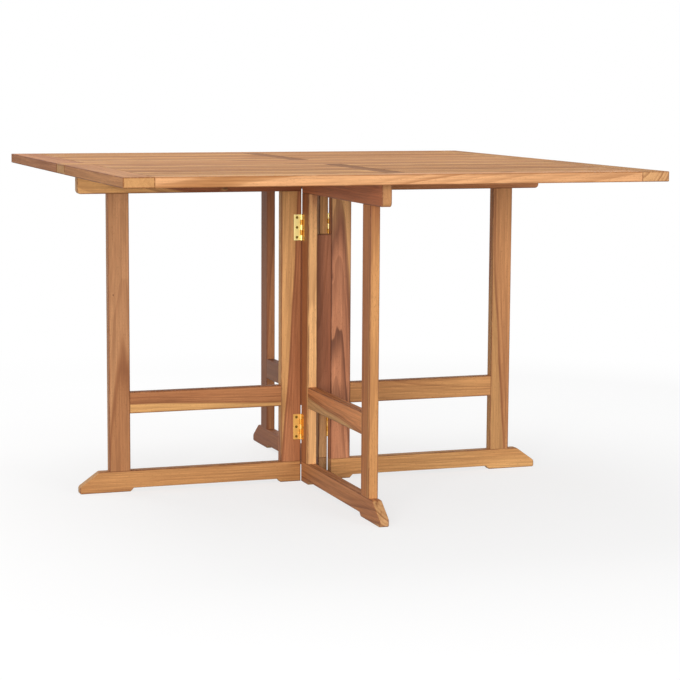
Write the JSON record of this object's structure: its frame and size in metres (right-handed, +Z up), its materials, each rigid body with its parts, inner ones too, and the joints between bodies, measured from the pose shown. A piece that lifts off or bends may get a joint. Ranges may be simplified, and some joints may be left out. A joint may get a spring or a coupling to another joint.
{
  "type": "folding garden table",
  "caption": "Square slatted wooden gateleg garden table: a narrow fixed frame and plank, with hinged leaves held up by swinging gates.",
  "frame": {"origin": "on the floor, straight under the middle of the table top", "axes": "+X along the centre plank to the right, +Y from the front leaf to the back leaf, +Z up"},
  "size_m": [1.2, 1.2, 0.75],
  "materials": {
    "teak_plank": "sanded teak, lightly oiled",
    "teak_leaf": "sanded teak, lightly oiled",
    "teak_frame": "sanded teak, lightly oiled",
    "beech_dowel": "plain turned dowel",
    "brass": "polished pressed brass",
    "brass_screws": "brass wood screws",
    "steel_screws": "stainless wood screws"
  },
  "bodies": {
    "fixed_frame": {"centre_panel": "teak_frame", "centre_plank": "teak_plank", "fixed_hinge_screws": "brass_screws", "gate_hinge_fixed_plates": "brass", "hinge_pins": "brass", "leaf_hinge_fixed_plates": "brass", "left_bottom_rail": "teak_frame", "left_inner_post": "teak_frame", "left_outer_post": "teak_frame", "left_stretcher": "teak_frame", "left_top_rail": "teak_frame", "panel_dowels": "beech_dowel", "plank_screws": "steel_screws", "right_bottom_rail": "teak_frame", "right_inner_post": "teak_frame", "right_outer_post": "teak_frame", "right_stretcher": "teak_frame", "right_top_rail": "teak_frame"},
    "front_gate": {"front_gate_bottom_rail": "teak_frame", "front_gate_hinge_plates": "brass", "front_gate_inner_post": "teak_frame", "front_gate_outer_post": "teak_frame", "front_gate_screws": "brass_screws", "front_gate_stretcher": "teak_frame", "front_gate_top_rail": "teak_frame"},
    "back_gate": {"back_gate_bottom_rail": "teak_frame", "back_gate_hinge_plates": "brass", "back_gate_inner_post": "teak_frame", "back_gate_outer_post": "teak_frame", "back_gate_screws": "brass_screws", "back_gate_stretcher": "teak_frame", "back_gate_top_rail": "teak_frame"},
    "front_leaf": {"front_leaf_gate_stop": "teak_leaf", "front_leaf_hinge_plates": "brass", "front_leaf_inner_rail": "teak_leaf", "front_leaf_left_stile": "teak_leaf", "front_leaf_muntin": "teak_leaf", "front_leaf_outer_rail": "teak_leaf", "front_leaf_right_stile": "teak_leaf", "front_leaf_screws": "brass_screws", "front_leaf_slats_1": "teak_leaf", "front_leaf_slats_2": "teak_leaf", "front_leaf_slats_3": "teak_leaf", "front_leaf_slats_4": "teak_leaf", "front_leaf_slats_5": "teak_leaf", "front_leaf_slats_6": "teak_leaf"},
    "back_leaf": {"back_leaf_gate_stop": "teak_leaf", "back_leaf_hinge_plates": "brass", "back_leaf_inner_rail": "teak_leaf", "back_leaf_left_stile": "teak_leaf", "back_leaf_muntin": "teak_leaf", "back_leaf_outer_rail": "teak_leaf", "back_leaf_right_stile": "teak_leaf", "back_leaf_screws": "brass_screws", "back_leaf_slats_1": "teak_leaf", "back_leaf_slats_2": "teak_leaf", "back_leaf_slats_3": "teak_leaf", "back_leaf_slats_4": "teak_leaf", "back_leaf_slats_5": "teak_leaf", "back_leaf_slats_6": "teak_leaf"}
  },
  "joints": [
    {"name": "front_gate_swing", "type": "hinge", "parent": "fixed_frame", "child": "front_gate", "pos_m": [-0.037, -0.0116, 0.363], "axis": [0, 0, -1], "range_deg": [0, 90]},
    {"name": "back_gate_swing", "type": "hinge", "parent": "fixed_frame", "child": "back_gate", "pos_m": [0.037, 0.0116, 0.363], "axis": [0, 0, -1], "range_deg": [0, 90]},
    {"name": "front_leaf_lift", "type": "hinge", "parent": "fixed_frame", "child": "front_leaf", "pos_m": [0, -0.0435, 0.7279], "axis": [-1, 0, 0], "range_deg": [0, 5]},
    {"name": "back_leaf_lift", "type": "hinge", "parent": "fixed_frame", "child": "back_leaf", "pos_m": [0, 0.0435, 0.7279], "axis": [1, 0, 0], "range_deg": [0, 5]}
  ]
}
